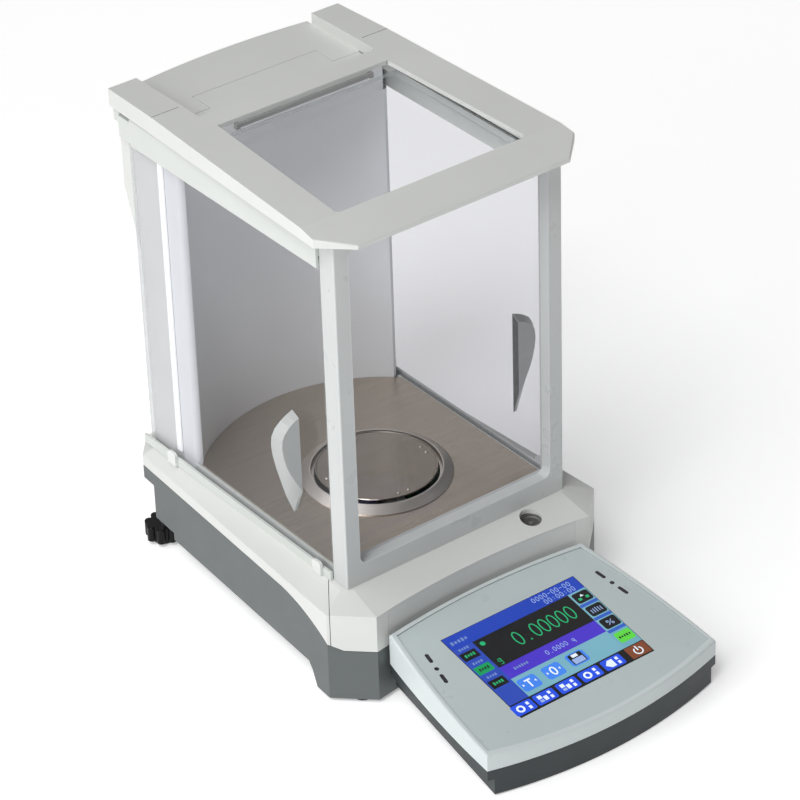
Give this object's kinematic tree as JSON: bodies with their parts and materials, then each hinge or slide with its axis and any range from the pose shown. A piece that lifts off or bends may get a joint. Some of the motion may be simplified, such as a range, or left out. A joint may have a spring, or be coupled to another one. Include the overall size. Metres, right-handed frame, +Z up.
{
  "type": "analytical balance",
  "caption": "Laboratory analytical balance with a glazed draught-free weighing chamber, sliding doors, round pan, draft ring and a tilted touch-screen console in front.",
  "frame": {"origin": "centre of the footprint, on the table under the feet", "axes": "+X to the right seen from the front, +Y towards the rear, +Z up"},
  "size_m": [0.238, 0.435, 0.3664],
  "materials": {
    "light_shell": "satin",
    "grey_shell": "satin",
    "tray": "satin",
    "frame_light": "satin",
    "trim_light": "satin",
    "clear_glass": "polished",
    "floor_steel": "brushed",
    "pan_steel": "brushed",
    "machined_steel": "machined",
    "cell_alloy": "machined",
    "magnet_steel": "plated",
    "brass": "machined",
    "black_plastic": "satin",
    "rubber": "matte",
    "board_green": "satin",
    "console_light": "satin",
    "face_sheet": "matte",
    "screen": "gloss",
    "display": "matte",
    "lens_black": "gloss",
    "vial_clear": "polished"
  },
  "bodies": {
    "balance": {"lower_housing": "tray", "upper_housing": "light_shell", "front_panel": "light_shell", "front_foot_left": "rubber", "front_foot_right": "rubber", "housing_screws": "machined_steel", "floor_plate": "floor_steel", "pan_spindle": "machined_steel", "cell_base_plate": "cell_alloy", "weighing_cell": "cell_alloy", "cell_magnet": "magnet_steel", "board_standoffs": "brass", "main_board": "board_green", "power_inlet": "black_plastic", "data_port": "machined_steel", "level_vial_body": "black_plastic", "level_vial_glass": "vial_clear", "front_frame": "frame_light", "front_glass": "clear_glass", "lower_rail_left": "frame_light", "lower_rail_right": "frame_light", "upper_rail_left": "frame_light", "upper_rail_right": "frame_light", "rail_end_left": "light_shell", "rail_end_right": "light_shell", "rail_clips_left": "trim_light", "rail_clips_right": "trim_light", "top_seal_strip": "trim_light", "column_front": "light_shell", "column_back_cover": "light_shell", "column_cap": "light_shell", "top_cover": "light_shell", "top_rear_plate": "light_shell", "foot_bush_left": "brass", "foot_bush_right": "brass", "console_top_shell": "console_light", "console_face_sheet": "face_sheet", "console_bottom_shell": "grey_shell", "touch_panel": "screen", "display_module": "display", "console_board": "board_green", "ir_sensor_windows": "lens_black", "console_feet": "rubber", "console_strap": "machined_steel"},
    "left_door": {"left_door_glass": "clear_glass", "left_door_handle": "trim_light"},
    "right_door": {"right_door_glass": "clear_glass", "right_door_handle": "trim_light"},
    "top_door": {"top_door_glass": "clear_glass", "top_door_grip": "trim_light"},
    "pan": {"weighing_pan": "pan_steel"},
    "ring": {"draft_ring": "pan_steel"},
    "left_pad": {"level_pad_left": "rubber"},
    "right_pad": {"level_pad_right": "rubber"},
    "left_knob": {"level_knob_left": "black_plastic", "level_screw_left": "machined_steel"},
    "right_knob": {"level_knob_right": "black_plastic", "level_screw_right": "machined_steel"}
  },
  "joints": [
    {"name": "left_door_slide", "type": "slide", "parent": "balance", "child": "left_door", "axis": [0, 1, 0], "range_m": [0, 0.15]},
    {"name": "right_door_slide", "type": "slide", "parent": "balance", "child": "right_door", "axis": [0, 1, 0], "range_m": [0, 0.15]},
    {"name": "top_door_slide", "type": "slide", "parent": "balance", "child": "top_door", "axis": [0, 1, 0], "range_m": [0, 0.13]},
    {"name": "pan_lift", "type": "slide", "parent": "balance", "child": "pan", "axis": [0, 0, 1], "range_m": [0, 0.03]},
    {"name": "ring_lift", "type": "slide", "parent": "balance", "child": "ring", "axis": [0, 0, 1], "range_m": [0, 0.03]},
    {"name": "left_foot_height", "type": "slide", "parent": "balance", "child": "left_pad", "axis": [0, 0, 1], "range_m": [-0.0035, 0.0035]},
    {"name": "left_knob_turn", "type": "hinge", "parent": "left_pad", "child": "left_knob", "pos_m": [-0.095, 0.184, 0], "axis": [0, 0, 1], "range_deg": [-1080, 1080]},
    {"name": "right_foot_height", "type": "slide", "parent": "balance", "child": "right_pad", "axis": [0, 0, 1], "range_m": [-0.0035, 0.0035]},
    {"name": "right_knob_turn", "type": "hinge", "parent": "right_pad", "child": "right_knob", "pos_m": [0.095, 0.184, 0], "axis": [0, 0, 1], "range_deg": [-1080, 1080]}
  ],
  "couplings": [
    {"joint": "left_foot_height", "follows": "left_knob_turn", "m_per_rad": 0.00015914},
    {"joint": "right_foot_height", "follows": "right_knob_turn", "m_per_rad": 0.00015914}
  ]
}
